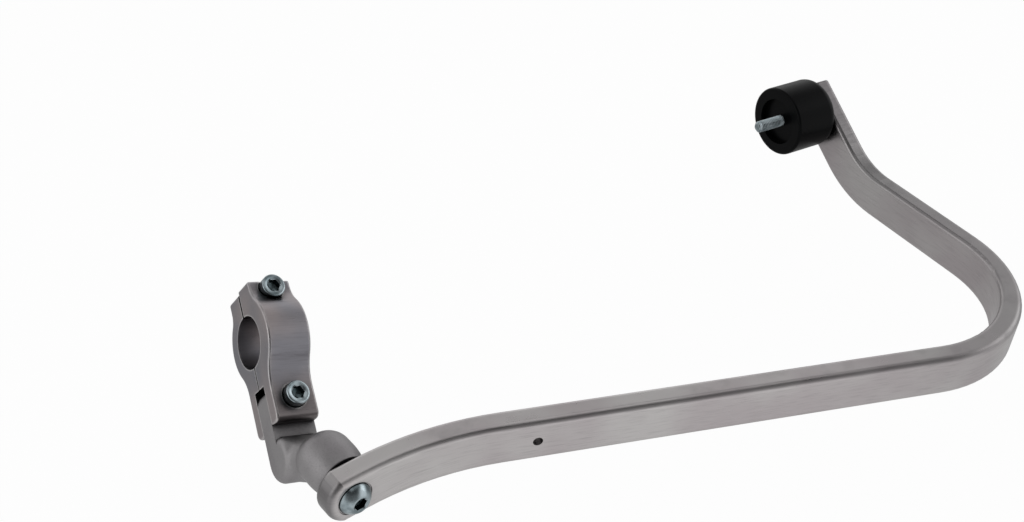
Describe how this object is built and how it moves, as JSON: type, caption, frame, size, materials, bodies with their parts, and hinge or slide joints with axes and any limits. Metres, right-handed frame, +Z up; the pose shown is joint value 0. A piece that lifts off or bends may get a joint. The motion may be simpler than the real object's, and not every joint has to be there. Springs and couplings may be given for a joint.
{
  "type": "motorcycle hand guard",
  "caption": "Bent aluminium bar hand guard for a motorcycle handlebar, with a split clamp, cast elbow and plastic bar-end spacer.",
  "frame": {"origin": "centre of the clamp's handlebar bore", "axes": "+X outwards along the bar's straight front run, +Y towards the rider, +Z up, square to the plane in which the bar is bent"},
  "size_m": [0.3608, 0.2203, 0.0653],
  "materials": {
    "bar_aluminium": "satin",
    "clamp_aluminium": "satin",
    "cast_aluminium": "bead blasted",
    "zinc_steel": "zinc plated",
    "black_plastic": "satin moulded"
  },
  "bodies": {
    "root": {"backbone": "bar_aluminium", "clamp_cap": "clamp_aluminium", "clamp_saddle": "clamp_aluminium", "clamp_connector": "cast_aluminium", "clamp_screw_upper": "zinc_steel", "clamp_screw_lower": "zinc_steel", "pivot_screw": "zinc_steel", "bar_end_screw": "zinc_steel", "bar_end_spacer": "black_plastic"}
  },
  "joints": []
}
